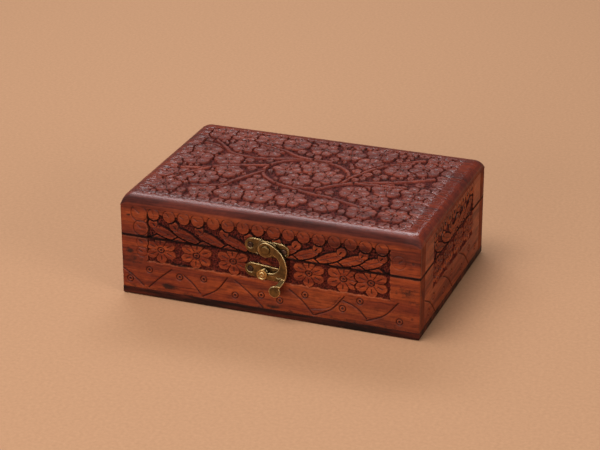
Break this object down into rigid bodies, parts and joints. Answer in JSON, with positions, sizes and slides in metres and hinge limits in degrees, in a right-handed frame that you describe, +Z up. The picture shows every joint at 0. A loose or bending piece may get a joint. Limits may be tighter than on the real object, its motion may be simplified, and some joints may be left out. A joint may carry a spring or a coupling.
{
  "type": "jewelry box",
  "caption": "Rectangular carved wooden jewelry box with a lid on two brass butt hinges at the back, a velvet lining and a brass swing latch on the front.",
  "frame": {"origin": "under the middle of the wooden box, on the face that it stands on", "axes": "+X to the right along the front, +Y from the latch to the hinges, +Z up"},
  "size_m": [0.178, 0.1348, 0.061],
  "materials": {
    "carved_wood": "oiled satin, carved",
    "dark_wood": "dark stained satin",
    "velvet": "short pile velvet",
    "steel_pins": "plain bright wire",
    "hinge_brass": "plain brass, slightly dulled",
    "antique_brass": "antique bronze, edges worn bright",
    "dark_nails": "blackened"
  },
  "bodies": {
    "base": {"base_front_wall": "carved_wood", "base_back_wall": "carved_wood", "base_left_wall": "carved_wood", "base_right_wall": "carved_wood", "bottom_board": "dark_wood", "floor_lining": "velvet", "base_wall_pins": "steel_pins", "bottom_pins": "steel_pins", "hinge_left_base_leaf": "hinge_brass", "hinge_right_base_leaf": "hinge_brass", "hinge_left_pin": "hinge_brass", "hinge_right_pin": "hinge_brass", "hinge_base_screws": "hinge_brass", "keeper_plate": "antique_brass", "keeper_stud": "antique_brass", "keeper_nails": "dark_nails"},
    "lid": {"lid_top_panel": "carved_wood", "lid_front_rail": "carved_wood", "lid_back_rail": "carved_wood", "lid_left_rail": "carved_wood", "lid_right_rail": "carved_wood", "lid_lining": "velvet", "lid_wall_pins": "steel_pins", "hinge_left_lid_leaf": "hinge_brass", "hinge_right_lid_leaf": "hinge_brass", "hinge_lid_screws": "hinge_brass", "latch_plate": "antique_brass", "latch_plate_nails": "dark_nails", "latch_pivot_rivet": "antique_brass"},
    "hook": {"latch_hook": "antique_brass"}
  },
  "joints": [
    {"name": "lid_hinge", "type": "hinge", "parent": "base", "child": "lid", "pos_m": [0, 0.0646, 0.03705], "axis": [-1, 0, 0], "range_deg": [0, 180]},
    {"name": "latch_swing", "type": "hinge", "parent": "lid", "child": "hook", "pos_m": [0.0003, -0.0645, 0.0422], "axis": [0, -1, 0], "range_deg": [0, 100]}
  ]
}
